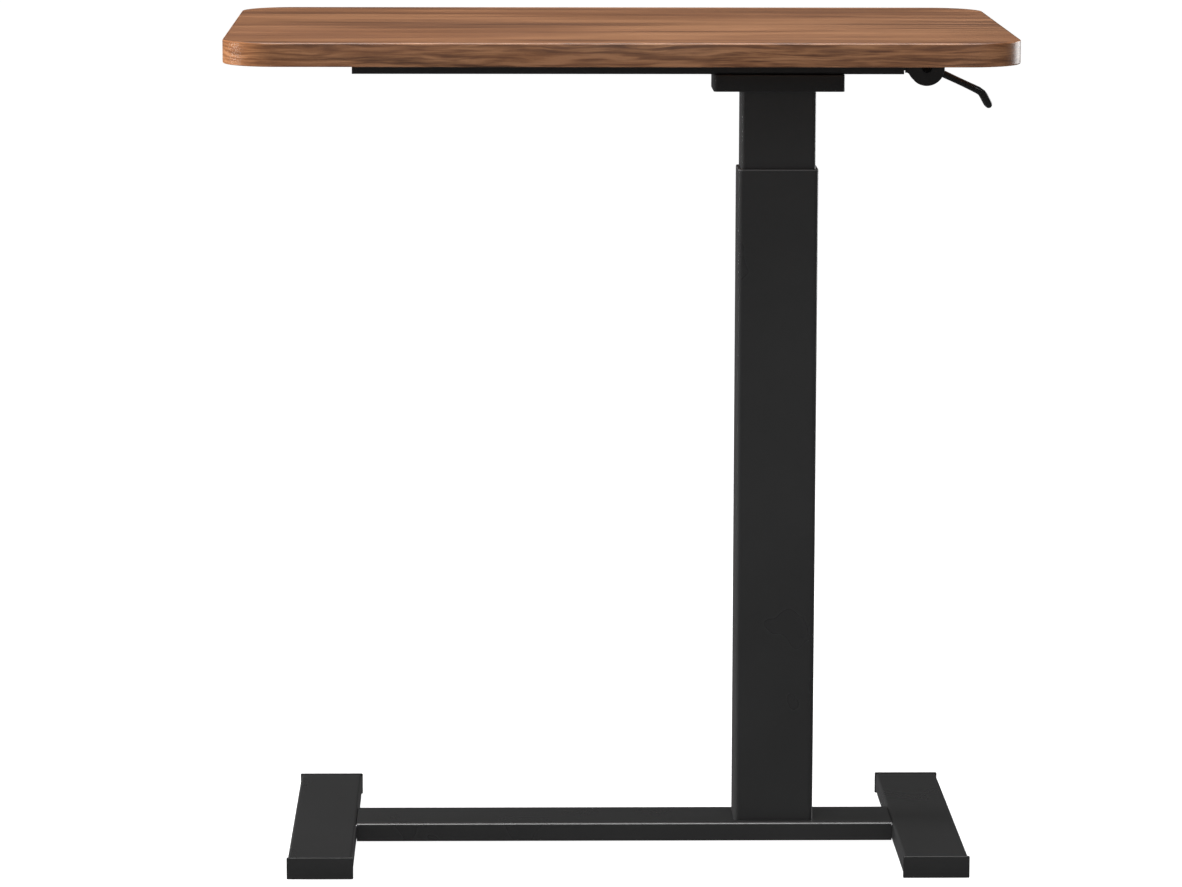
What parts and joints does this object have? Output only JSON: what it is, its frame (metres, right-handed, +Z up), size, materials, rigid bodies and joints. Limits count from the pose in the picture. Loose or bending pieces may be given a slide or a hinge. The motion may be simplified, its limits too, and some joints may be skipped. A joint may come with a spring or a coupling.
{
  "type": "standing desk",
  "caption": "Single-column standing desk: a wood top rises on a telescoping column with a lockable gas spring, freed by a lever at the right.",
  "frame": {"origin": "on the floor, under the middle of the desktop", "axes": "+Z up, +X to the right of a person who sits or stands at the front, +Y away from that person"},
  "size_m": [0.8, 0.5, 0.868],
  "materials": {
    "walnut_top": "satin walnut veneer",
    "black_steel": "satin black powder coat",
    "black_plastic": "fine texture",
    "glide_plastic": "smooth, self-lubricating",
    "lever_plastic": "gloss",
    "zinc_steel": "zinc plated",
    "black_oxide": "oiled black oxide",
    "chrome_rod": "polished",
    "spring_steel": "drawn wire",
    "cylinder_paint": "gloss black",
    "rubber_pad": "matt"
  },
  "bodies": {
    "base": {"left_foot": "black_steel", "right_foot": "black_steel", "left_front_cap": "black_plastic", "left_rear_cap": "black_plastic", "right_front_cap": "black_plastic", "right_rear_cap": "black_plastic", "foot_pads": "rubber_pad", "crossbar": "black_steel", "left_joiner": "zinc_steel", "right_joiner": "zinc_steel", "joiner_bolts": "zinc_steel", "joiner_nuts": "zinc_steel", "outer_column": "black_steel", "column_base_plate": "black_steel", "column_bolts": "zinc_steel", "upper_glide": "glide_plastic", "gas_spring_cylinder": "cylinder_paint", "gas_spring_end_plug": "zinc_steel", "gas_spring_nut": "zinc_steel", "gas_spring_gland": "zinc_steel"},
    "top_frame": {"desktop": "walnut_top", "channel": "black_steel", "channel_end_cap": "black_plastic", "desktop_screws": "zinc_steel", "mounting_plate": "black_steel", "mounting_bolts": "zinc_steel", "mounting_nuts": "zinc_steel", "inner_column": "black_steel", "lower_glide": "glide_plastic", "gas_spring_rod": "chrome_rod", "gas_spring_piston": "zinc_steel", "rod_lock_nut": "zinc_steel", "release_head": "zinc_steel", "rocker_pin": "zinc_steel", "lever_housing": "black_plastic", "housing_screws": "zinc_steel", "lever_pivot_screw": "black_oxide"},
    "lever": {"lever": "lever_plastic", "lever_link_pin": "zinc_steel", "lever_spring": "spring_steel"},
    "push_link": {"push_link": "zinc_steel"},
    "rocker": {"rocker": "zinc_steel", "rocker_link_pin": "zinc_steel"},
    "release_pin": {"release_pin": "chrome_rod"}
  },
  "joints": [
    {"name": "height", "type": "slide", "parent": "base", "child": "top_frame", "axis": [0, 0, 1], "range_m": [-0.075, 0.325]},
    {"name": "lever_swing", "type": "hinge", "parent": "top_frame", "child": "lever", "pos_m": [0.322, 0, 0.824], "axis": [0, -1, 0], "range_deg": [0, 16], "stiffness_Nm_per_rad": 0.3, "springref_deg": -17.19},
    {"name": "link_push", "type": "slide", "parent": "top_frame", "child": "push_link", "axis": [-1, 0, 0], "range_m": [0, 0.0032]},
    {"name": "rocker_swing", "type": "hinge", "parent": "top_frame", "child": "rocker", "pos_m": [0.1776, 0, 0.82602], "axis": [0, -1, 0], "range_deg": [0, 20]},
    {"name": "pin_press", "type": "slide", "parent": "top_frame", "child": "release_pin", "axis": [0, 0, -1], "range_m": [0, 0.0037]}
  ],
  "couplings": [
    {"joint": "link_push", "follows": "lever_swing", "m_per_rad": 0.010964},
    {"joint": "rocker_swing", "follows": "lever_swing", "ratio": 1.2242},
    {"joint": "pin_press", "follows": "lever_swing", "m_per_rad": 0.012552}
  ]
}
